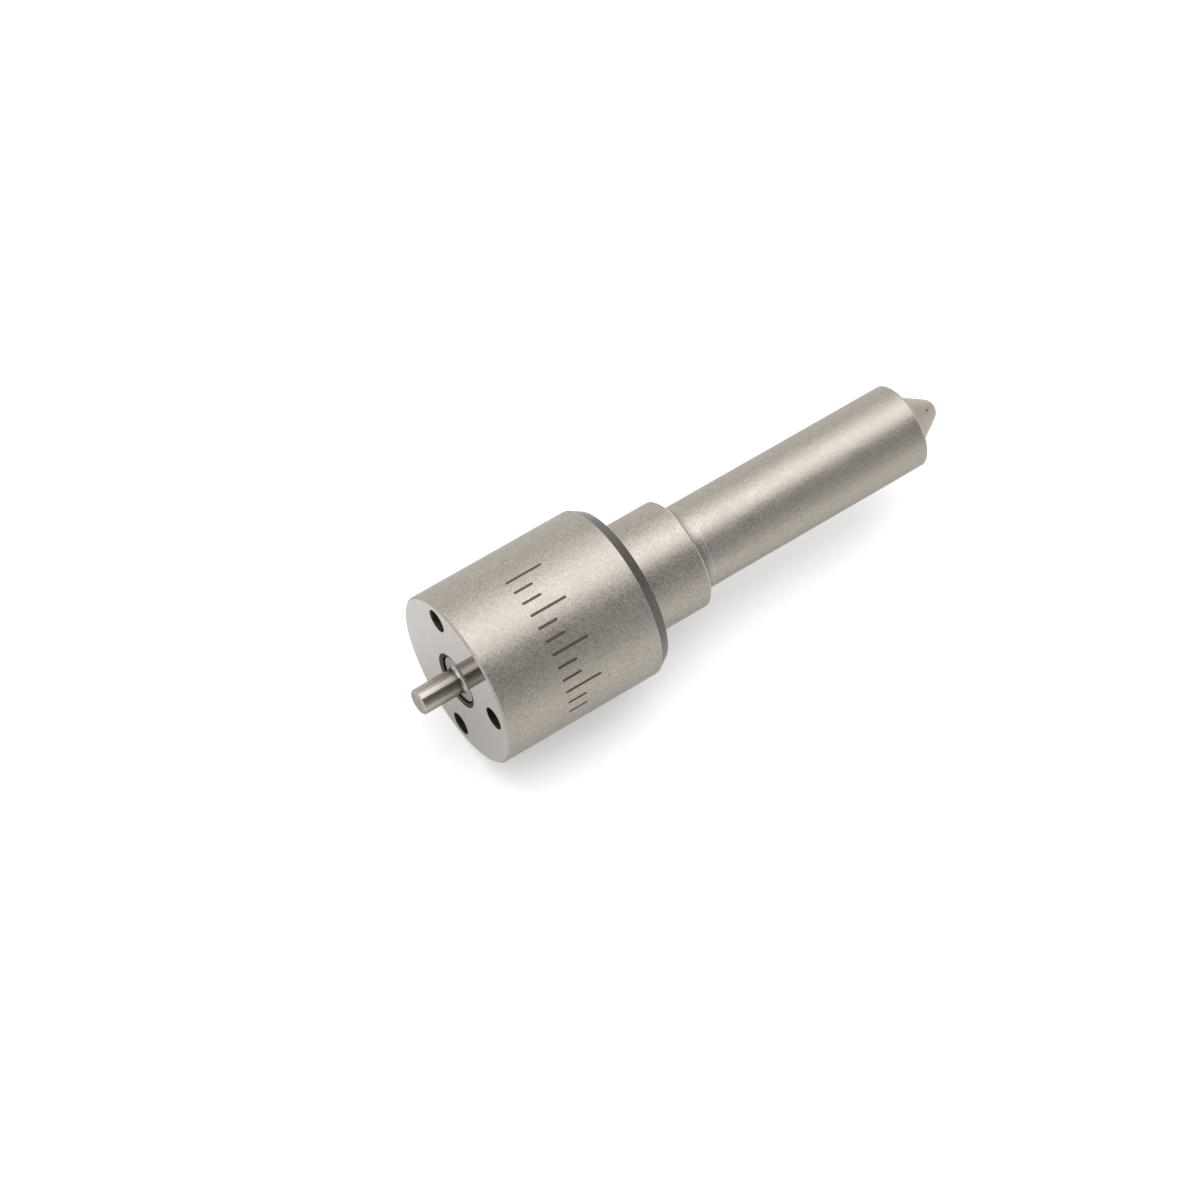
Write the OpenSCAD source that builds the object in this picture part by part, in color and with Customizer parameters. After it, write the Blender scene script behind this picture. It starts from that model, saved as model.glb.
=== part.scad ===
// Hole-type diesel injector nozzle: a stepped body and the needle valve lapped into it.
// +X runs along the nozzle's axis towards the tip, and +Z is up as the nozzle lies on its side.
// The origin is the centre of the lapped back face.

/* [Head] */
// Outside diameter of the head
head_d = 14.3; // [14:0.1:15]
// Length of the head, from the lapped back face to the front shoulder
head_len = 14.9; // [14.7:0.1:16]
// Radial depth of the chamfer at the front of the head
head_chamfer_depth = 0.55; // [0.3:0.05:0.8]
// Axial length of the chamfer at the front of the head
head_chamfer_len = 0.9; // [0.5:0.1:1.2]
// Edge break round the back face
back_edge = 0.15; // [0.05:0.05:0.3]

/* [Collar] */
// Diameter of the collar in front of the head
collar_d = 9.2; // [8.8:0.1:10]
// Length of the collar
collar_len = 5.6; // [5:0.1:7]
// Edge break at the front of the collar
collar_edge = 0.2; // [0.1:0.05:0.4]

/* [Shank] */
// Diameter of the shank
shank_d = 7.1; // [7:0.05:7.2]
// Length of the shank
shank_len = 21.6; // [18:0.1:26]
// Edge break at the end of the shank
shank_edge = 0.2; // [0.1:0.05:0.3]

/* [Nose] */
// Full angle of the nose cone
nose_angle = 64; // [60:1:66]
// Radius of the rounded tip
nose_ball_r = 1.05; // [1:0.05:1.1]
// Length of the nose in front of the shank
nose_len = 3.15; // [3.1:0.05:3.3]

/* [Holes in the back face] */
// Diameter of the fuel feed passage
feed_d = 1.9; // [1.6:0.1:2]
// Distance of the feed passage's mouth from the axis
feed_offset = 5.25; // [5.1:0.05:5.4]
// Angle of the feed passage round the axis, from +Y towards +Z
feed_turn = 155; // [140:0.5:170]
// Diameter of each dowel hole
dowel_d = 1.9; // [1.8:0.1:2.2]
// Distance of each dowel hole from the axis
dowel_offset = 5.65; // [5.5:0.05:5.7]
// Angle from the feed passage to each dowel hole
dowel_spread = 101; // [90:0.5:110]
// Depth of the straight wall of each dowel hole
dowel_depth = 4.5; // [3:0.1:5]
// Angle of the drill point at the bottom of each dowel hole
drill_angle = 118; // [118:1:140]

/* [Bore] */
// Diameter of the guide bore
guide_d = 4.03; // [4.02:0.01:4.06]
// Diameter of the countersink at the mouth of the guide bore
mouth_d = 4.73; // [4.5:0.01:4.9]
// Depth of that countersink
mouth_depth = 0.1; // [0.06:0.01:0.2]
// Distance of the fuel gallery's middle from the back face
gallery_x = 12.3; // [12:0.1:12.6]
// Radius of the gallery's round section
gallery_section_r = 1.7; // [1.6:0.05:1.8]
// Outside diameter of the gallery
gallery_d = 7.2; // [7:0.1:7.4]
// Diameter of the bore round the needle's stem
stem_bore_d = 3.2; // [3:0.1:3.4]

/* [Seat and sac] */
// Full angle of the seat
seat_angle = 60; // [59:1:61]
// Diameter of the sac below the seat
sac_d = 0.8; // [0.7:0.05:0.9]
// Length of the sac's straight wall
sac_len = 0.45; // [0.4:0.05:0.5]
// Wall left between the sac and the tip of the nose
tip_wall = 0.85; // [0.8:0.05:0.9]

/* [Spray holes] */
// Number of spray holes
spray_holes = 6; // [4:1:8]
// Diameter of each spray hole
spray_d = 0.18; // [0.12:0.01:0.22]
// Full angle of the cone that the sprays lie on
spray_angle = 145; // [140:1:150]
// Distance from the sac's upper edge to the point where the spray holes' axes meet
spray_drop = 0.05; // [0.02:0.01:0.1]
// Angle of the first spray hole round the axis, from +Y towards +Z
spray_turn = 108; // [90:1:149]

/* [Needle] */
// Diameter of the needle's guide land
needle_d = 4; // [3.97:0.01:4]
// Depth of the needle's end face below the back face when the valve is shut
needle_recess = 0.22; // [0.16:0.01:0.3]
// Edge break round the needle's end face
needle_edge = 0.1; // [0.05:0.05:0.2]
// Distance of the guide land's front end from the back face when the valve is shut
guide_land_end = 10.4; // [9:0.1:10.5]
// Diameter of the stem
stem_d = 2.6; // [2.5:0.05:2.7]
// Axial length of the pressure cone between the guide land and the stem
pressure_cone_len = 1.6; // [1.2:0.1:1.8]
// Diameter of the pin that stands out of the back face
pin_d = 2.1; // [2:0.05:2.2]
// How far that pin stands out of the back face when the valve is shut
pin_len = 3.5; // [3.3:0.05:3.7]
// Size of the bevel where that pin meets the needle's end face
pin_root = 0.25; // [0.1:0.05:0.4]
// Edge break at the end of the pin
pin_edge = 0.15; // [0.1:0.05:0.2]
// Diameter of the sealing edge that meets the seat
seat_line_d = 2; // [1.8:0.05:2.1]
// Full angle of the needle's cone above the sealing edge
upper_cone_angle = 54; // [50:1:56]
// Full angle of the needle's cone below the sealing edge
lower_cone_angle = 80; // [74:1:86]
// Diameter of the flat at the needle's tip
needle_tip_d = 0.5; // [0.4:0.05:0.6]
// Clearance along the axis between the needle and its seat
seat_clearance = 0.02; // [0.02:0.01:0.05]

/* [Hidden] */
$fn = 96;

cut = 1; // how far a cutting shape runs past the surface it opens

collar_end = head_len + collar_len;
shank_end = collar_end + shank_len;
nose_tip = shank_end + nose_len;
nose_ball_x = nose_tip - nose_ball_r;

// the ring where the nose cone meets its rounded tip
tangent_r = nose_ball_r * cos(nose_angle / 2);
tangent_x = nose_ball_x + nose_ball_r * sin(nose_angle / 2);
nose_base_r = tangent_r + (tangent_x - shank_end) * tan(nose_angle / 2);

sac_r = sac_d / 2;
sac_ball_x = nose_tip - tip_wall - sac_r;
sac_start = sac_ball_x - sac_len;
seat_apex = sac_start + sac_r / tan(seat_angle / 2);
seat_start = seat_apex - stem_bore_d / 2 / tan(seat_angle / 2);

gallery_r = gallery_d / 2;
feed_inner_r = gallery_r - feed_d / 4;
feed_lean = atan((feed_offset - feed_inner_r) / gallery_x);

pin_end = -pin_len;
seat_line_x = seat_apex - seat_line_d / 2 / tan(seat_angle / 2) - seat_clearance;
stem_end = seat_line_x - (stem_d - seat_line_d) / 2 / tan(upper_cone_angle / 2);
needle_tip_x = seat_line_x + (seat_line_d - needle_tip_d) / 2 / tan(lower_cone_angle / 2);

// Turns a profile drawn as [radius, distance from the back face] about the nozzle's axis.
module turned() {
    rotate([0, 90, 0])
        rotate_extrude()
            children();
}

// Puts a shape at a distance from the axis, at an angle round it from +Y towards +Z.
module round_axis(turn, offset) {
    rotate([turn, 0, 0])
        translate([0, offset, 0])
            children();
}

// A quarter disc whose straight sides lie on the axis and on the line y = 0.
module round_end(r) {
    intersection() {
        circle(r);
        square(r + cut);
    }
}

module head_profile() {
    r = head_d / 2;
    polygon([
        [0, 0],
        [r - back_edge, 0],
        [r, back_edge],
        [r, head_len - head_chamfer_len],
        [r - head_chamfer_depth, head_len],
        [0, head_len]
    ]);
}

// A plain length with a bevelled front edge, from one distance along the axis to another.
module step_profile(r, start, end, edge) {
    polygon([
        [0, start],
        [r, start],
        [r, end - edge],
        [r - edge, end],
        [0, end]
    ]);
}

module nose_profile() {
    polygon([
        [0, shank_end],
        [nose_base_r, shank_end],
        [tangent_r, tangent_x],
        [0, tangent_x]
    ]);
    intersection() {
        translate([0, nose_ball_x])
            round_end(nose_ball_r);
        translate([0, tangent_x])
            square(nose_ball_r);
    }
}

module bore_profile() {
    guide_r = guide_d / 2;
    stem_bore_r = stem_bore_d / 2;
    flare = (mouth_d - guide_d) / 2 / mouth_depth;
    polygon([
        [0, -cut],
        [mouth_d / 2 + flare * cut, -cut],
        [guide_r, mouth_depth],
        [guide_r, gallery_x],
        [stem_bore_r, gallery_x],
        [stem_bore_r, seat_start],
        [sac_r, sac_start],
        [sac_r, sac_ball_x],
        [0, sac_ball_x]
    ]);
    translate([0, sac_ball_x])
        round_end(sac_r);
}

module gallery() {
    turned()
        translate([gallery_r - gallery_section_r, gallery_x])
            circle(gallery_section_r);
}

// The slanted passage from the back face to the middle of the gallery.
module feed_passage() {
    run = gallery_x / cos(feed_lean);
    round_axis(feed_turn, feed_offset)
        rotate([0, 0, -feed_lean])
            rotate([0, 90, 0])
                translate([0, 0, -cut])
                    cylinder(d = feed_d, h = cut + run);
}

module dowel_hole() {
    point = dowel_d / 2 / tan(drill_angle / 2);
    rotate([0, 90, 0]) {
        translate([0, 0, -cut])
            cylinder(d = dowel_d, h = cut + dowel_depth);
        translate([0, 0, dowel_depth])
            cylinder(d1 = dowel_d, d2 = 0, h = point);
    }
}

// A spray hole starts inside the sac, off its axis, so that no two holes meet there.
module spray_hole() {
    start = 0.85 * sac_r / sin(spray_angle / 2);
    translate([sac_start + spray_drop, 0, 0])
        rotate([0, 0, spray_angle / 2])
            rotate([0, 90, 0])
                translate([0, 0, start])
                    cylinder(d = spray_d, h = nose_base_r + cut);
}

module nozzle_body() {
    color([0.62, 0.6, 0.57])
        difference() {
            turned() {
                head_profile();
                step_profile(collar_d / 2, head_len, collar_end, collar_edge);
                step_profile(shank_d / 2, collar_end, shank_end, shank_edge);
                nose_profile();
            }
            turned()
                bore_profile();
            gallery();
            feed_passage();
            for (side = [-1, 1])
                round_axis(feed_turn + side * dowel_spread, dowel_offset)
                    dowel_hole();
            for (i = [0 : spray_holes - 1])
                rotate([spray_turn + i * 360 / spray_holes, 0, 0])
                    spray_hole();
        }
}

module needle_valve() {
    pin_r = pin_d / 2;
    land_r = needle_d / 2;
    stem_r = stem_d / 2;
    color([0.78, 0.78, 0.79])
        turned()
            polygon([
                [0, pin_end],
                [pin_r - pin_edge, pin_end],
                [pin_r, pin_end + pin_edge],
                [pin_r, needle_recess - pin_root],
                [pin_r + pin_root, needle_recess],
                [land_r - needle_edge, needle_recess],
                [land_r, needle_recess + needle_edge],
                [land_r, guide_land_end],
                [stem_r, guide_land_end + pressure_cone_len],
                [stem_r, stem_end],
                [seat_line_d / 2, seat_line_x],
                [needle_tip_d / 2, needle_tip_x],
                [0, needle_tip_x]
            ]);
}

nozzle_body();
needle_valve();
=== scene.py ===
import math

import bmesh
import bpy
from mathutils import Matrix, Vector


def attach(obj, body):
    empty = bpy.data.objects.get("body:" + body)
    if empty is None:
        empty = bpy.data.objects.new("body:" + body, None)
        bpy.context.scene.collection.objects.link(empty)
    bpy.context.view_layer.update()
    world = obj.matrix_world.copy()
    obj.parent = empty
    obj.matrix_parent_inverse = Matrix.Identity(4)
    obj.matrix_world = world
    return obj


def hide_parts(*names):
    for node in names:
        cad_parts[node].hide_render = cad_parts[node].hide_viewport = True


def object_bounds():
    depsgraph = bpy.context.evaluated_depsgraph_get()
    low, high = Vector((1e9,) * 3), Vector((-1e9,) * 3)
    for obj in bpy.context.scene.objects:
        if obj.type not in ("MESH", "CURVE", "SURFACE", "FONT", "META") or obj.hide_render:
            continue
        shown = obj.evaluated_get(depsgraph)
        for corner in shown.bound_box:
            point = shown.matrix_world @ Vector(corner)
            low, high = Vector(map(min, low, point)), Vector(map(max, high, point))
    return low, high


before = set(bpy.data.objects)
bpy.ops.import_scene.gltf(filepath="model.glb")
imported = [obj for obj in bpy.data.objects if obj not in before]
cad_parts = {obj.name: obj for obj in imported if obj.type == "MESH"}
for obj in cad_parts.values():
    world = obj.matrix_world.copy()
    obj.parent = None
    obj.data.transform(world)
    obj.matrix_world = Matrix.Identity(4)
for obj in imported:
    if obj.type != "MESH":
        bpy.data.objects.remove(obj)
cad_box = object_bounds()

MM = 0.001

# how finely round things are made
TURN_STEPS = 192
HOLE_STEPS = 64
SPRAY_STEPS = 24
CORNER_STEPS = 5
NOSE_STEPS = 14
GALLERY_STEPS = 28
SAC_STEPS = 10

# the narrow flat strip that holds the shading on each side of a rounded corner
HOLD = 0.04
# edges steeper than this stay sharp
SHARP = math.radians(32)
# how far a cutter runs past the surface that it opens
RUN_OUT = 1.0
# profile points closer to the axis than this lie on it
ON_AXIS = 1e-6

# head, collar and shank
HEAD_R = 7.15
HEAD_END = 14.9
CHAMFER_DEPTH = 0.55
CHAMFER_LEN = 0.9
BACK_EDGE = 0.15
COLLAR_R = 4.6
COLLAR_END = 20.5
SHANK_R = 3.55
SHANK_END = 42.1
STEP_EDGE = 0.2
SOFT = 0.06
BACK_SOFT = 0.03
EDGE_SOFT = 0.1
FILLET = 0.15

# nose
NOSE_TIP = 45.25
NOSE_BALL_R = 1.05
NOSE_HALF = math.radians(32)

# holes in the back face
FEED_R = 0.95
FEED_OFFSET = 5.25
FEED_INNER = 3.125
FEED_TURN = math.radians(155)
DOWEL_R = 0.95
DOWEL_OFFSET = 5.65
DOWEL_SPREAD = math.radians(101)
DOWEL_DEPTH = 4.5
DRILL_HALF = math.radians(59)
DRILL_SOFT = 0.05
RIM_BREAK = 0.03

# bore, gallery, seat and sac
GUIDE_R = 2.015
MOUTH_R = 2.365
MOUTH_DEPTH = 0.1
MOUTH_SOFT = 0.015
GUIDE_SOFT = 0.03
GAP_END = 0.6
GALLERY_X = 12.3
GALLERY_CENTRE_R = 1.9
GALLERY_SECTION_R = 1.7
STEM_BORE_R = 1.6
SEAT_HALF = math.radians(30)
SEAT_SOFT = 0.1
SAC_R = 0.4
SAC_START = 43.55
SAC_BALL_X = 44.0
SAC_SOFT = 0.03
SEAT_APEX = SAC_START + SAC_R / math.tan(SEAT_HALF)

# spray holes
SPRAYS = 6
SPRAY_R = 0.09
SPRAY_HALF = math.radians(72.5)
SPRAY_MEET = 43.6
SPRAY_TURN = math.radians(108)
SPRAY_INSIDE = 0.85
SPRAY_REACH = 2.5

# needle
PIN_END = -3.5
PIN_R = 1.05
PIN_EDGE = 0.15
NEEDLE_FACE = 0.22
NEEDLE_EDGE = 0.1
ROOT_FILLET = 0.28
LAND_R = 2.0
LAND_END = 10.4
STEM_START = 12.0
STEM_R = 1.3
SEAT_LINE_R = 1.0
SEAT_GAP = 0.02
UPPER_HALF = math.radians(27)
LOWER_HALF = math.radians(40)
NEEDLE_TIP_R = 0.25
NEEDLE_SOFT = 0.05
NEEDLE_RIM_SOFT = 0.04
PRESSURE_FILLET = 0.4
SEAT_LINE_SOFT = 0.02
NEEDLE_TIP_SOFT = 0.03

# a hairline scratch round the shank, and the middle of a narrow band of painted shade at its root
SCRATCH_X = 21.5
CORNER_SHADE_X = 20.9

# the row of plain strokes etched round the head
STROKES = 12
STROKE_START = 5.4
STROKE_LONG = 3.2
STROKE_SHORT = 1.7
STROKE_WIDTH = 0.22
STROKE_DEPTH = 0.03
STROKE_PROUD = 0.2
STROKE_FIRST = math.radians(70)
STROKE_STEP = math.radians(9)
STROKE_END_STEPS = 8
LONG_STROKE_EVERY = 3
STROKE_BAND_MARGIN = 0.5

# the finishes of each piece, in the order of its material slots
BODY_FINISHES = ["ground", "edge", "lapped", "turned", "scale", "nose", "mouth", "gap", "bore", "etched"]
NEEDLE_FINISHES = ["pin", "face", "rim", "land", "stem", "cone"]

# camera
LENS = 120
SENSOR_WIDTH = 36
CLIP_START = 0.01
CAMERA_AT = (-84.28, -90.62, 275.55)
CAMERA_BACK = (-0.3183, -0.2958, 0.9007)
CAMERA_RIGHT = (0.8219, -0.5597, 0.1068)

# the light all round: its brightness round the nozzle's axis, by the angle in degrees from -Y
# up to +Z, and its brightness along the axis, by the X of the direction, which takes over
# between ENDS_FROM and ENDS_FULL
WORLD_TOP = 2.0
WORLD_STOPS = [
    (-180, 1.2), (-174, 0.95), (0, 0.9), (12, 0.87), (30, 0.5), (50, 0.29), (71, 0.32), (83, 1.05),
    (102, 1.55), (132, 1.95), (144, 1.75), (155, 1.15), (165, 1.1), (179, 1.2),
]
END_STOPS = [(-1, 1.5), (-0.5, 1.25), (0, 0.9), (0.45, 1.9), (0.82, 1.9), (0.96, 0.9)]
ENDS_FROM = 0.45
ENDS_FULL = 0.8

# the table and the overhead softbox
TABLE_HALF = 3
TABLE_SQUARES = 8
TABLE_ROUGH = 0.9
TABLE_GLOW = 0.26
SOFTBOX_RADIANCE = 1.54
SOFTBOX_COLOUR = (0.96, 0.953, 1.0)
SOFTBOX_LENGTH = 1.0
SOFTBOX_WIDTH = 0.49
SOFTBOX_AHEAD = 0.2
SOFTBOX_AWAY = 0.6
SOFTBOX_TILT = math.radians(102.5)


# ---- meshes ----

def arc(centre_x, centre_r, radius, start, end, steps, finish):
    """Profile corners along an arc. Angles are measured from +X towards +R."""
    corners = []
    for i in range(steps + 1):
        a = start + (end - start) * i / steps
        corners.append((centre_x + radius * math.cos(a), centre_r + radius * math.sin(a), 0, finish))
    return corners


def rounded(before, here, after, radius):
    """The points that round one corner, between the points that hold the flat sides next to it."""
    back = (before - here).normalized()
    ahead = (after - here).normalized()
    half = back.angle(ahead) / 2
    reach = radius / math.tan(half)
    centre = here + (back + ahead).normalized() * radius / math.sin(half)
    first = here + back * reach - centre
    sweep = first.angle_signed(here + ahead * reach - centre)
    points = [here + back * (reach + HOLD)]
    for i in range(CORNER_STEPS + 1):
        turn = Matrix.Rotation(-sweep * i / CORNER_STEPS, 2)
        points.append(centre + turn @ first)
    points.append(here + ahead * (reach + HOLD))
    return points


def profile(corners):
    """Rounds the corners (x, r, radius, finish of the span that follows) of a turned profile.
    Returns its points and the finish of each span."""
    points = []
    finishes = []
    for i, (x, r, radius, finish) in enumerate(corners):
        here = Vector((x, r))
        if radius == 0:
            points.append(here)
            finishes.append(finish)
            continue

        before = Vector(corners[i - 1][:2])
        after = Vector(corners[i + 1][:2])
        soft = rounded(before, here, after, radius)
        points += soft
        middle = len(soft) // 2
        finishes += [corners[i - 1][3]] * middle
        finishes += [finish] * (len(soft) - middle)
    return points, finishes[:-1]


def lathe(name, corners, names, steps=TURN_STEPS):
    """A closed solid turned about the X axis from a profile that starts and ends on the axis."""
    points, finishes = profile(corners)
    mesh = bmesh.new()
    rings = []
    for x, r in points:
        if r < ON_AXIS:
            rings.append([mesh.verts.new((x, 0, 0))])
            continue
        ring = []
        for k in range(steps):
            a = 2 * math.pi * k / steps
            ring.append(mesh.verts.new((x, r * math.cos(a), r * math.sin(a))))
        rings.append(ring)
    for one, two, finish in zip(rings, rings[1:], finishes):
        for k in range(steps):
            quad = [one[k % len(one)], one[(k + 1) % len(one)]]
            quad += [two[(k + 1) % len(two)], two[k % len(two)]]
            face = mesh.faces.new(list(dict.fromkeys(quad)))
            face.material_index = names.index(finish)
    return closed(name, mesh)


def linked(name, mesh):
    """Turns a bmesh into an object in the scene."""
    data = bpy.data.meshes.new(name)
    mesh.to_mesh(data)
    mesh.free()
    made = bpy.data.objects.new(name, data)
    bpy.context.scene.collection.objects.link(made)
    return made


def closed(name, mesh):
    """Turns a bmesh in millimetres into an object in metres, with every face looking outwards."""
    bmesh.ops.recalc_face_normals(mesh, faces=mesh.faces)
    bmesh.ops.scale(mesh, vec=(MM, MM, MM), verts=mesh.verts)
    return linked(name, mesh)


def place(cutter, turn, offset, lean=0.0):
    """Puts a cutter turned about X at a distance from the axis and an angle round it, from +Y to +Z."""
    spin = Matrix.Rotation(turn, 4, "X")
    shift = Matrix.Translation((0, offset * MM, 0))
    tilt = Matrix.Rotation(-lean, 4, "Z")
    cutter.data.transform(spin @ shift @ tilt)
    return cutter


def body_profile():
    """The body's outline, from the tip back along the outside, and in through the bore to the sac."""
    seat_start = SEAT_APEX - STEM_BORE_R / math.tan(SEAT_HALF)
    ball_x = NOSE_TIP - NOSE_BALL_R
    tangent_x = ball_x + NOSE_BALL_R * math.sin(NOSE_HALF)
    tangent_r = NOSE_BALL_R * math.cos(NOSE_HALF)
    base_r = tangent_r + (tangent_x - SHANK_END) * math.tan(NOSE_HALF)
    gallery_in = math.pi - math.asin((GUIDE_R - GALLERY_CENTRE_R) / GALLERY_SECTION_R)
    gallery_out = math.asin((STEM_BORE_R - GALLERY_CENTRE_R) / GALLERY_SECTION_R)
    corners = [(NOSE_TIP, 0, 0, "nose")]
    corners += arc(ball_x, 0, NOSE_BALL_R, 0, math.pi / 2 - NOSE_HALF, NOSE_STEPS, "nose")[1:]
    corners += [
        (SHANK_END, base_r, SOFT, "turned"),
        (SHANK_END, SHANK_R - STEP_EDGE, SOFT, "turned"),
        (SHANK_END - STEP_EDGE, SHANK_R, EDGE_SOFT, "ground"),
        (COLLAR_END, SHANK_R, FILLET, "turned"),
        (COLLAR_END, COLLAR_R - STEP_EDGE, SOFT, "edge"),
        (COLLAR_END - STEP_EDGE, COLLAR_R, EDGE_SOFT, "ground"),
        (HEAD_END, COLLAR_R, FILLET, "turned"),
        (HEAD_END, HEAD_R - CHAMFER_DEPTH, SOFT, "scale"),
        (HEAD_END - CHAMFER_LEN, HEAD_R, EDGE_SOFT, "ground"),
        (STROKE_START + STROKE_LONG + STROKE_BAND_MARGIN, HEAD_R, 0, "ground"),
        (STROKE_START - STROKE_BAND_MARGIN, HEAD_R, 0, "ground"),
        (BACK_EDGE, HEAD_R, BACK_SOFT, "ground"),
        (0, HEAD_R - BACK_EDGE, BACK_SOFT, "lapped"),
        (0, MOUTH_R, MOUTH_SOFT, "mouth"),
        (MOUTH_DEPTH, GUIDE_R, GUIDE_SOFT, "gap"),
        (GAP_END, GUIDE_R, 0, "bore"),
    ]
    gallery = (GALLERY_X, GALLERY_CENTRE_R, GALLERY_SECTION_R)
    corners += arc(*gallery, gallery_in, gallery_out, GALLERY_STEPS, "bore")
    corners += [
        (seat_start, STEM_BORE_R, SEAT_SOFT, "bore"),
        (SAC_START, SAC_R, SAC_SOFT, "bore"),
    ]
    corners += arc(SAC_BALL_X, 0, SAC_R, math.pi / 2, 0, SAC_STEPS, "bore")[:-1]
    corners += [(SAC_BALL_X + SAC_R, 0, 0, "bore")]
    return corners


def rod(start, end, r):
    """The profile of a plain rod that cuts a hole."""
    return [(start, 0, 0, "bore"), (start, r, 0, "bore"), (end, r, 0, "bore"), (end, 0, 0, "bore")]


def feed_cutter():
    """The slanted passage from the back face to the gallery."""
    lean = math.atan((FEED_OFFSET - FEED_INNER) / GALLERY_X)
    run = GALLERY_X / math.cos(lean)
    cutter = lathe("feed_cutter", rod(-RUN_OUT, run, FEED_R), BODY_FINISHES, HOLE_STEPS)
    return place(cutter, FEED_TURN, FEED_OFFSET, lean)


def dowel_cutter(side):
    """A dowel hole with its rim broken and a drill point at the bottom."""
    point = DOWEL_R / math.tan(DRILL_HALF)
    corners = [
        (-RUN_OUT, 0, 0, "bore"),
        (-RUN_OUT, DOWEL_R + RIM_BREAK + RUN_OUT, 0, "bore"),
        (RIM_BREAK, DOWEL_R, 0, "bore"),
        (DOWEL_DEPTH, DOWEL_R, DRILL_SOFT, "bore"),
        (DOWEL_DEPTH + point, 0, 0, "bore"),
    ]
    cutter = lathe("dowel_cutter", corners, BODY_FINISHES, HOLE_STEPS)
    return place(cutter, FEED_TURN + side * DOWEL_SPREAD, DOWEL_OFFSET)


def spray_cutter(number):
    """One spray hole, from inside the sac out through the nose."""
    start = SPRAY_INSIDE * SAC_R / math.sin(SPRAY_HALF)
    cutter = lathe("spray_cutter", rod(start, SPRAY_REACH, SPRAY_R), BODY_FINISHES, SPRAY_STEPS)
    spin = Matrix.Rotation(SPRAY_TURN + number * 2 * math.pi / SPRAYS, 4, "X")
    shift = Matrix.Translation((SPRAY_MEET * MM, 0, 0))
    cutter.data.transform(spin @ shift @ Matrix.Rotation(SPRAY_HALF, 4, "Z"))
    return cutter


def stroke_cutter(number):
    """One shallow etched stroke with round ends, along the nozzle's axis."""
    length = STROKE_LONG if number % LONG_STROKE_EVERY == 0 else STROKE_SHORT
    half = STROKE_WIDTH / 2
    outline = []
    for end, first in ((STROKE_START + length - half, -90), (STROKE_START + half, 90)):
        for i in range(STROKE_END_STEPS + 1):
            a = math.radians(first + 180 * i / STROKE_END_STEPS)
            outline.append((end + half * math.cos(a), half * math.sin(a)))
    mesh = bmesh.new()
    low = [mesh.verts.new((x, HEAD_R - STROKE_DEPTH, t)) for x, t in outline]
    high = [mesh.verts.new((x, HEAD_R + STROKE_PROUD, t)) for x, t in outline]
    mesh.faces.new(low)
    mesh.faces.new(high)
    for k in range(len(outline)):
        j = (k + 1) % len(outline)
        mesh.faces.new((low[k], low[j], high[j], high[k]))
    for face in mesh.faces:
        face.material_index = BODY_FINISHES.index("etched")
    cutter = closed("stroke_cutter", mesh)
    return place(cutter, STROKE_FIRST + number * STROKE_STEP, 0)


def joined(name, parts):
    """One mesh object made of several that don't overlap."""
    mesh = bmesh.new()
    for part in parts:
        mesh.from_mesh(part.data)
        bpy.data.objects.remove(part)
    return linked(name, mesh)


def carve(piece, cutter):
    """Cuts one mesh out of another, and removes the cutter."""
    modifier = piece.modifiers.new("cut", "BOOLEAN")
    modifier.operation = "DIFFERENCE"
    modifier.solver = "EXACT"
    modifier.object = cutter
    bpy.context.view_layer.update()
    seen = piece.evaluated_get(bpy.context.evaluated_depsgraph_get())
    carved = bpy.data.meshes.new_from_object(seen)
    piece.modifiers.clear()
    piece.data = carved
    bpy.data.objects.remove(cutter)


def finish_mesh(piece, materials):
    """Gives a piece its materials, and smooth shading with the sharp edges kept."""
    for i, material in enumerate(materials):
        if i < len(piece.data.materials):
            piece.data.materials[i] = material
        else:
            piece.data.materials.append(material)
    piece.data.polygons.foreach_set("use_smooth", [True] * len(piece.data.polygons))
    piece.data.set_sharp_from_angle(angle=SHARP)


def make_body():
    """The nozzle body, with its passages, dowel holes, spray holes and etched strokes cut into it."""
    body = lathe("nozzle_shell", body_profile(), BODY_FINISHES)
    cutters = [feed_cutter(), dowel_cutter(-1), dowel_cutter(1)]
    cutters += [spray_cutter(i) for i in range(SPRAYS)]
    cutters += [stroke_cutter(i) for i in range(STROKES)]
    steels = {
        "ground": ground_steel,
        "edge": painted_edge_highlight,
        "lapped": lapped_steel,
        "turned": turned_steel,
        "scale": scale_steel,
        "nose": nose_steel,
        "mouth": mouth_steel,
        "gap": gap_steel,
        "bore": bore_steel,
        "etched": etched_mark,
    }
    placeholders = [bpy.data.materials.new(n) for n in BODY_FINISHES]
    tool = joined("cutters", cutters)
    for owner in (body, tool):
        for material in placeholders:
            owner.data.materials.append(material)
    carve(body, tool)
    finish_mesh(body, [steels[n]() for n in BODY_FINISHES])
    for material in placeholders:
        bpy.data.materials.remove(material)
    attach(body, "nozzle_body")
    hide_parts("nozzle_body")


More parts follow.
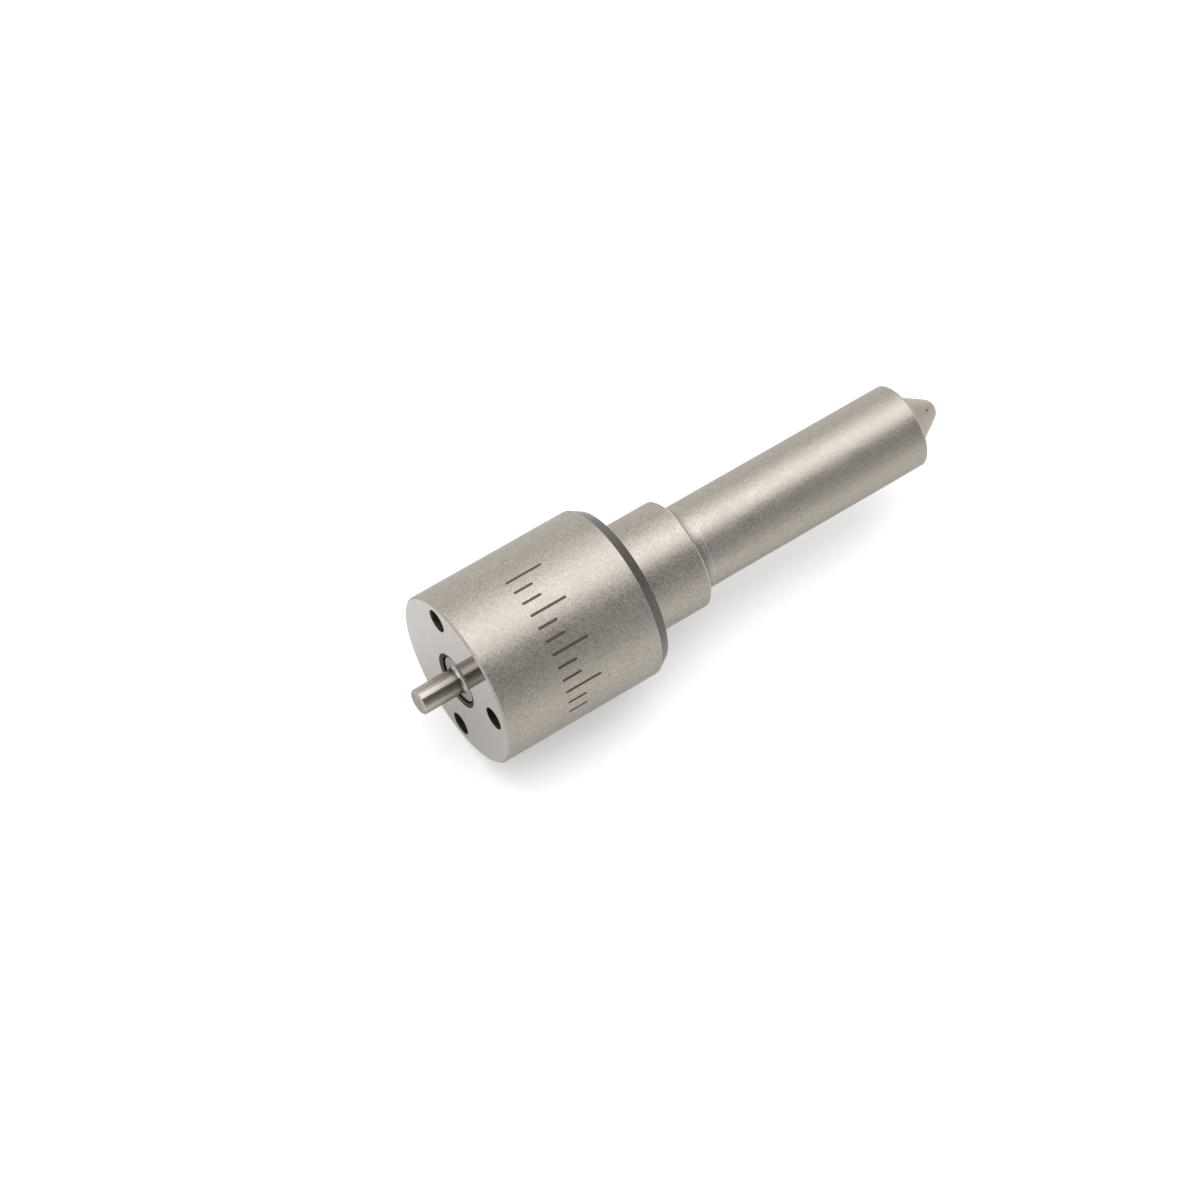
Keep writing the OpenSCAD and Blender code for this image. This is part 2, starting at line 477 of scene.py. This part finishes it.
def needle_profile():
    """The needle's outline, from the end of its pin to the flat at its tip."""
    line_x = SEAT_APEX - SEAT_LINE_R / math.tan(SEAT_HALF) - SEAT_GAP
    stem_end = line_x - (STEM_R - SEAT_LINE_R) / math.tan(UPPER_HALF)
    tip_x = line_x + (SEAT_LINE_R - NEEDLE_TIP_R) / math.tan(LOWER_HALF)
    return [
        (PIN_END, 0, 0, "pin"),
        (PIN_END, PIN_R - PIN_EDGE, NEEDLE_SOFT, "pin"),
        (PIN_END + PIN_EDGE, PIN_R, NEEDLE_SOFT, "pin"),
        (NEEDLE_FACE, PIN_R, ROOT_FILLET, "face"),
        (NEEDLE_FACE, LAND_R - NEEDLE_EDGE, NEEDLE_RIM_SOFT, "rim"),
        (NEEDLE_FACE + NEEDLE_EDGE, LAND_R, NEEDLE_RIM_SOFT, "land"),
        (LAND_END, LAND_R, NEEDLE_SOFT, "stem"),
        (STEM_START, STEM_R, PRESSURE_FILLET, "stem"),
        (stem_end, STEM_R, NEEDLE_SOFT, "cone"),
        (line_x, SEAT_LINE_R, SEAT_LINE_SOFT, "cone"),
        (tip_x, NEEDLE_TIP_R, NEEDLE_TIP_SOFT, "cone"),
        (tip_x, 0, 0, "cone"),
    ]


def make_needle():
    """The needle valve."""
    needle = lathe("lapped_needle", needle_profile(), NEEDLE_FINISHES)
    steels = {
        "pin": pin_steel,
        "face": end_steel,
        "rim": rim_steel,
        "land": land_steel,
        "stem": stem_steel,
        "cone": cone_steel,
    }
    finish_mesh(needle, [steels[n]() for n in NEEDLE_FINISHES])
    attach(needle, "needle_valve")
    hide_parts("needle_valve")


# ---- materials ----

def connect(tree, socket, value):
    """Links a socket to another one, or sets it to a plain value."""
    if isinstance(value, bpy.types.NodeSocket):
        tree.links.new(value, socket)
    else:
        socket.default_value = value


class Graph:
    """A material's node tree, with short calls for the nodes that these finishes use."""

    def __init__(self, name, metallic, specular=0.5):
        self.material = bpy.data.materials.new(name)
        self.material.use_nodes = True
        self.tree = self.material.node_tree
        self.shader = self.tree.nodes["Principled BSDF"]
        self.shader.inputs["Metallic"].default_value = metallic
        self.shader.inputs["Specular IOR Level"].default_value = specular
        self.shader.distribution = "GGX"

    def add(self, kind, inputs=(), **settings):
        """Adds a node, with its inputs by socket and its settings by name."""
        made = self.tree.nodes.new(kind)
        for name, value in settings.items():
            setattr(made, name, value)
        for socket, value in dict(inputs).items():
            connect(self.tree, made.inputs[socket], value)
        return made

    def graze(self, level):
        """Sets how much of the light a metal still gives back close to its outline."""
        self.shader.inputs["Specular Tint"].default_value = (*level, 1)

    def math(self, operation, *values):
        """One step of arithmetic."""
        return self.add("ShaderNodeMath", dict(enumerate(values)), operation=operation).outputs[0]

    def where(self):
        """The point on the piece, in millimetres."""
        point = self.add("ShaderNodeTexCoord").outputs["Object"]
        scaled = self.add("ShaderNodeVectorMath", {0: point, "Scale": 1 / MM}, operation="SCALE")
        return scaled.outputs[0]

    def along(self):
        """The place along the nozzle's axis, in millimetres."""
        return self.add("ShaderNodeSeparateXYZ", {0: self.where()}).outputs[0]

    def lathe_point(self, along, around):
        """A point that changes fast along the turned profile and slowly round the axis, with no seam."""
        x, y, z = self.add("ShaderNodeSeparateXYZ", {0: self.where()}).outputs
        squares = self.math("ADD", self.math("MULTIPLY", y, y), self.math("MULTIPLY", z, z))
        r = self.math("MAXIMUM", self.math("SQRT", squares), 0.01)
        run = self.math("MULTIPLY", self.math("ADD", x, r), along)
        side = self.math("MULTIPLY", self.math("DIVIDE", y, r), around)
        rise = self.math("MULTIPLY", self.math("DIVIDE", z, r), around)
        return self.add("ShaderNodeCombineXYZ", {0: run, 1: side, 2: rise}).outputs[0]

    def noise(self, point, scale, detail, rough=0.5):
        """Noise from 0 to 1 at a point."""
        inputs = {"Vector": point, "Scale": scale, "Detail": detail, "Roughness": rough}
        return self.add("ShaderNodeTexNoise", inputs).outputs["Fac"]

    def spread(self, value, low, high, to_low, to_high):
        """Maps low to to_low and high to to_high, and clamps beyond them."""
        inputs = {0: value, 1: low, 2: high, 3: to_low, 4: to_high}
        return self.add("ShaderNodeMapRange", inputs, clamp=True).outputs[0]

    def blend(self, factor, one, two):
        """Mixes two colours, each a socket or a plain (red, green, blue)."""
        made = self.add("ShaderNodeMix", {0: factor}, data_type="RGBA")
        for socket, colour in ((6, one), (7, two)):
            plain = isinstance(colour, tuple)
            connect(self.tree, made.inputs[socket], (*colour, 1) if plain else colour)
        return made.outputs[2]

    def bump(self, height, depth, normal=None):
        """A bump whose depth is in millimetres."""
        inputs = {"Height": height, "Distance": depth * MM, "Strength": 1.0}
        if normal:
            inputs["Normal"] = normal
        return self.add("ShaderNodeBump", inputs).outputs[0]

    def end(self, colour, roughness, normal):
        """Feeds the shader, and returns the finished material."""
        for name, value in (("Base Color", colour), ("Roughness", roughness), ("Normal", normal)):
            self.tree.links.new(value, self.shader.inputs[name])
        return self.material


def ground_steel():
    """Satin steel of the head, collar and shank: fine grain, short grinding marks, bright specks painted
    as glints, and painted shade at the shank's root.
    """
    g = Graph("satin_ground_steel", 1.0)
    g.graze((0.78, 0.78, 0.78))
    grain = g.noise(g.where(), 7.5, 0)
    mottle = g.noise(g.where(), 1.8, 2)
    cloud = g.noise(g.where(), 0.35, 2)
    marks = g.noise(g.lathe_point(7, 9), 1, 1)
    painted_glint = g.noise(g.where(), 6.5, 0)
    tone = g.math("ADD", g.math("MULTIPLY", grain, 0.75), g.math("MULTIPLY", mottle, 0.25))
    colour = g.blend(g.spread(tone, 0.3, 0.7, 0, 1), (0.250, 0.228, 0.201), (0.380, 0.350, 0.311))
    colour = g.blend(g.spread(cloud, 0.35, 0.65, 0, 0.3), colour, (0.325, 0.299, 0.268))
    # painted glints: a few bright flecks in the colour
    colour = g.blend(g.spread(painted_glint, 0.83, 0.86, 0, 0.75), colour, (0.70, 0.68, 0.65))
    calm = calm_along(g)
    colour = g.blend(calm, colour, (0.315, 0.289, 0.256))
    colour = g.blend(scratch(g), colour, (0.7, 0.68, 0.65))
    # painted shade: a dark band on the shank next to the collar's shoulder
    colour = g.blend(corner(g), colour, (0.10, 0.09, 0.082))
    rough = g.spread(g.math("ADD", grain, cloud), 0.7, 1.3, 0.36, 0.46)
    normal = g.bump(g.math("MULTIPLY", grain, g.math("SUBTRACT", 1, calm)), 0.004)
    normal = g.bump(marks, 0.004, normal)
    return g.end(colour, rough, normal)


def calm_along(g):
    """How much weaker the grain is, from nothing at the shank's root to the most at its end."""
    return g.spread(g.along(), COLLAR_END, SHANK_END, 0, 0.55)


def away_from(g, middle):
    """The distance along the axis from one place on it."""
    return g.math("ABSOLUTE", g.math("SUBTRACT", g.along(), middle))


def scratch(g):
    """A light hairline round part of the shank, close to the collar."""
    line = g.spread(away_from(g, SCRATCH_X), 0.01, 0.04, 0.35, 0)
    return g.math("MULTIPLY", line, g.spread(g.noise(g.where(), 0.45, 1), 0.42, 0.55, 0, 1))


def corner(g):
    """Painted shade in the corner where the shank meets the collar's shoulder."""
    return g.spread(away_from(g, CORNER_SHADE_X), 0.05, 0.3, 0.35, 0)


def painted_edge_highlight():
    """The collar's front edge break, its colour lifted above the ground surface beside it as a painted
    highlight.
    """
    g = Graph("painted_highlight_edge_steel", 1.0)
    grain = g.noise(g.where(), 6, 1)
    # painted highlight: the edge break's colour is lighter than the ground steel so that it shows as a
    # bright line
    colour = g.blend(grain, (0.345, 0.322, 0.295), (0.425, 0.400, 0.366))
    rough = g.spread(grain, 0.3, 0.7, 0.32, 0.42)
    return g.end(colour, rough, g.bump(grain, 0.002))


def lapped_steel():
    """The lapped back face, close to a mirror, with a faint haze and a few dark pits."""
    g = Graph("lapped_face_steel", 1.0)
    haze = g.noise(g.where(), 1.2, 4, 0.6)
    grain = g.noise(g.where(), 20, 2)
    colour = g.blend(haze, (0.281, 0.259, 0.238), (0.319, 0.296, 0.272))
    pits = g.noise(g.where(), 2.6, 0)
    colour = g.blend(g.spread(pits, 0.8, 0.84, 0, 0.7), colour, (0.10, 0.09, 0.085))
    rough = g.spread(haze, 0.3, 0.7, 0.06, 0.11)
    return g.end(colour, rough, g.bump(grain, 0.0004))


def turned_steel():
    """Shoulders left as turned, with fine rings."""
    g = Graph("turned_shoulder_steel", 1.0)
    rings = g.noise(g.lathe_point(20, 0.6), 1, 2)
    cloud = g.noise(g.where(), 0.8, 3, 0.6)
    colour = g.blend(cloud, (0.24, 0.212, 0.178), (0.32, 0.285, 0.24))
    rough = g.spread(cloud, 0.3, 0.7, 0.32, 0.42)
    return g.end(colour, rough, g.bump(rings, 0.006))


def scale_steel():
    """The chamfer that the grinder never reached, dark from hardening."""
    g = Graph("hardened_chamfer_steel", 0.85)
    cloud = g.noise(g.where(), 1.6, 4, 0.6)
    grain = g.noise(g.where(), 12, 2)
    colour = g.blend(cloud, (0.056, 0.047, 0.041), (0.09, 0.077, 0.069))
    rough = g.spread(cloud, 0.3, 0.7, 0.32, 0.42)
    return g.end(colour, rough, g.bump(grain, 0.002))


def nose_steel():
    """The nose, turned and hardened, a little warmer than the shank."""
    g = Graph("hardened_nose_steel", 1.0)
    rings = g.noise(g.lathe_point(16, 0.8), 1, 2)
    cloud = g.noise(g.where(), 1.4, 3, 0.6)
    colour = g.blend(cloud, (0.27, 0.236, 0.202), (0.33, 0.293, 0.257))
    rough = g.spread(cloud, 0.3, 0.7, 0.34, 0.44)
    return g.end(colour, rough, g.bump(rings, 0.004))


def bore_steel():
    """Inside the bore and the drilled holes: darker than the ground steel outside."""
    g = Graph("darker_bore_steel", 1.0)
    rings = g.noise(g.lathe_point(24, 0.5), 1, 2)
    cloud = g.noise(g.where(), 1.1, 3, 0.6)
    colour = g.blend(cloud, (0.20, 0.18, 0.16), (0.30, 0.28, 0.25))
    rough = g.spread(cloud, 0.3, 0.7, 0.28, 0.4)
    return g.end(colour, rough, g.bump(rings, 0.003))


def mouth_steel():
    """The countersink at the mouth of the guide bore, browner than the lapped face round it."""
    g = Graph("countersink_steel", 1.0)
    g.graze((0.45, 0.43, 0.40))
    rings = g.noise(g.lathe_point(24, 0.5), 1, 2)
    cloud = g.noise(g.where(), 1.5, 3, 0.6)
    colour = g.blend(cloud, (0.075, 0.064, 0.052), (0.11, 0.096, 0.080))
    rough = g.spread(cloud, 0.3, 0.7, 0.28, 0.38)
    return g.end(colour, rough, g.bump(rings, 0.003))


def gap_steel():
    """The first of the guide bore's wall, painted near black as shade round the needle's end."""
    g = Graph("painted_shade_gap_steel", 1.0)
    cloud = g.noise(g.where(), 2, 2)
    # painted shade: a near black colour where the gap round the needle's end lies in shadow
    colour = g.blend(cloud, (0.02, 0.018, 0.022), (0.04, 0.036, 0.04))
    rough = g.spread(cloud, 0.3, 0.7, 0.3, 0.4)
    return g.end(colour, rough, g.bump(cloud, 0.001))


def etched_mark():
    """The dark oxide in the etched strokes."""
    g = Graph("etched_oxide", 0.2)
    grain = g.noise(g.where(), 9, 3, 0.6)
    colour = g.blend(grain, (0.04, 0.024, 0.02), (0.09, 0.056, 0.045))
    rough = g.spread(grain, 0.3, 0.7, 0.5, 0.7)
    return g.end(colour, rough, g.bump(grain, 0.004))


def polished(name, dark, light, rough_span, ring_depth, streak=0.0, metallic=1.0):
    """Ground and polished steel with hairlines round the axis, which can draw out its highlights."""
    g = Graph(name, metallic)
    g.graze((0.6, 0.6, 0.6))
    g.shader.inputs["Anisotropic"].default_value = streak
    g.shader.inputs["Anisotropic Rotation"].default_value = 0.25
    round_axis = g.add("ShaderNodeTangent", direction_type="RADIAL", axis="X").outputs[0]
    g.tree.links.new(round_axis, g.shader.inputs["Tangent"])
    rings = g.noise(g.lathe_point(30, 0.7), 1, 3, 0.6)
    cloud = g.noise(g.where(), 1.3, 3, 0.6)
    colour = g.blend(cloud, dark, light)
    rough = g.spread(cloud, 0.3, 0.7, *rough_span)
    return g.end(colour, rough, g.bump(rings, ring_depth))


def pin_steel():
    """The pin, bright, with its highlight drawn out round it."""
    dark = (0.31, 0.284, 0.25)
    light = (0.365, 0.339, 0.302)
    return polished("polished_pin_steel", dark, light, (0.17, 0.22), 0.0006, streak=1.0)


def end_steel():
    """The needle's end face round the pin, greyer than the pin."""
    dark = (0.25, 0.238, 0.24)
    light = (0.31, 0.298, 0.30)
    return polished("needle_end_steel", dark, light, (0.22, 0.30), 0.001, metallic=0.75)


def rim_steel():
    """The edge break round the needle's end face, painted dark as shade in the gap round it."""
    # painted shade: a dark colour for the shadowed gap round the needle's end face
    return polished("painted_shade_rim_steel", (0.03, 0.026, 0.028), (0.05, 0.044, 0.046), (0.3, 0.4), 0.001)


def land_steel():
    """The guide land, lapped to the bore and the brightest part of the needle."""
    return polished("lapped_land_steel", (0.45, 0.44, 0.43), (0.52, 0.51, 0.50), (0.08, 0.13), 0.0008)


def stem_steel():
    """The stem and the pressure cone, ground more roughly than the land."""
    return polished("ground_stem_steel", (0.36, 0.34, 0.32), (0.43, 0.41, 0.39), (0.22, 0.30), 0.002)


def cone_steel():
    """The sealing cones and the flat at the needle's tip."""
    return polished("ground_cone_steel", (0.40, 0.38, 0.36), (0.48, 0.46, 0.44), (0.16, 0.24), 0.0015)


# ---- studio ----

def frame_of(right, up, back):
    """The turn that takes an object's X, Y and Z to three directions at right angles."""
    return Matrix((right, up, back)).transposed().to_4x4()


def make_camera():
    """The camera, behind and above the nozzle."""
    data = bpy.data.cameras.new("camera")
    data.lens = LENS
    data.sensor_width = SENSOR_WIDTH
    data.clip_start = CLIP_START
    back = Vector(CAMERA_BACK).normalized()
    up = back.cross(Vector(CAMERA_RIGHT)).normalized()
    right = up.cross(back)
    camera = bpy.data.objects.new("camera", data)
    camera.matrix_world = Matrix.Translation(Vector(CAMERA_AT) * MM) @ frame_of(right, up, back)
    bpy.context.scene.collection.objects.link(camera)
    bpy.context.scene.camera = camera


def table_white():
    """A matt white, with a little light of its own that keeps it white."""
    g = Graph("white_table", 0.0, 0.2)
    cloud = g.noise(g.where(), 0.02, 2)
    colour = g.blend(cloud, (0.765, 0.765, 0.75), (0.785, 0.785, 0.77))
    g.tree.links.new(colour, g.shader.inputs["Base Color"])
    g.shader.inputs["Roughness"].default_value = TABLE_ROUGH
    g.shader.inputs["Emission Color"].default_value = (1, 1, 1, 1)
    g.shader.inputs["Emission Strength"].default_value = TABLE_GLOW
    return g.material


def make_floor():
    """A plain white table, at the height of the head's lowest line."""
    mesh = bmesh.new()
    bmesh.ops.create_grid(mesh, x_segments=TABLE_SQUARES, y_segments=TABLE_SQUARES, size=TABLE_HALF)
    floor = linked("floor", mesh)
    floor.location = (0, 0, cad_box[0][2])
    floor.data.materials.append(table_white())


def world_math(tree, operation, *values):
    """One step of arithmetic in the world's node tree."""
    made = tree.nodes.new("ShaderNodeMath")
    made.operation = operation
    for socket, value in zip(made.inputs, values):
        connect(tree, socket, value)
    return made.outputs[0]


def world_ramp(tree, place, stops):
    """A ramp of grey levels over 0 to 1, from stops in rising order, as shares of WORLD_TOP."""
    made = tree.nodes.new("ShaderNodeValToRGB")
    tree.links.new(place, made.inputs[0])
    elements = made.color_ramp.elements
    elements.remove(elements[-1])
    elements[0].position = 0
    for i, (position, level) in enumerate(stops):
        element = elements[0] if i == 0 else elements.new(position)
        element.color = (level / WORLD_TOP,) * 3 + (1,)
    return made.outputs[0]


def make_world():
    """Soft light all round, brightest high on the far side and dimmest high on the camera's side."""
    world = bpy.data.worlds.new("studio")
    bpy.context.scene.world = world
    world.use_nodes = True
    tree = world.node_tree
    background = tree.nodes["Background"]
    point = tree.nodes.new("ShaderNodeTexCoord")
    split = tree.nodes.new("ShaderNodeSeparateXYZ")
    tree.links.new(point.outputs["Generated"], split.inputs[0])
    x, y, z = split.outputs
    angle = world_math(tree, "ARCTAN2", z, world_math(tree, "MULTIPLY", y, -1.0))
    turn = world_math(tree, "ADD", world_math(tree, "DIVIDE", angle, 2 * math.pi), 0.5)
    around = world_ramp(tree, turn, [(0.5 + degrees / 360, level) for degrees, level in WORLD_STOPS])
    along = world_math(tree, "ADD", world_math(tree, "DIVIDE", x, 2.0), 0.5)
    ends = world_ramp(tree, along, [(0.5 + end / 2, level) for end, level in END_STOPS])
    share = tree.nodes.new("ShaderNodeMapRange")
    share.interpolation_type = "SMOOTHSTEP"
    tree.links.new(world_math(tree, "ABSOLUTE", x), share.inputs[0])
    share.inputs[1].default_value = ENDS_FROM
    share.inputs[2].default_value = ENDS_FULL
    blend = tree.nodes.new("ShaderNodeMix")
    blend.data_type = "RGBA"
    tree.links.new(share.outputs[0], blend.inputs[0])
    tree.links.new(around, blend.inputs[6])
    tree.links.new(ends, blend.inputs[7])
    tree.links.new(blend.outputs[2], background.inputs[0])
    background.inputs[1].default_value = WORLD_TOP


def make_softbox():
    """The overhead softbox, long along the nozzle."""
    data = bpy.data.lights.new("softbox", "AREA")
    data.shape = "RECTANGLE"
    data.size = SOFTBOX_LENGTH
    data.size_y = SOFTBOX_WIDTH
    data.color = SOFTBOX_COLOUR
    data.energy = SOFTBOX_RADIANCE * data.size * data.size_y * math.pi
    right = Vector((1, 0, 0))
    back = Vector((0, -math.cos(SOFTBOX_TILT), math.sin(SOFTBOX_TILT)))
    middle = right * SOFTBOX_AHEAD + back * SOFTBOX_AWAY
    light = bpy.data.objects.new("softbox", data)
    light.matrix_world = Matrix.Translation(middle) @ frame_of(right, back.cross(right), back)
    light.visible_camera = False
    bpy.context.scene.collection.objects.link(light)


make_body()
make_needle()
make_camera()
make_floor()
make_world()
make_softbox()
bpy.context.scene.view_settings.view_transform = "Standard"
bpy.context.view_layer.update()
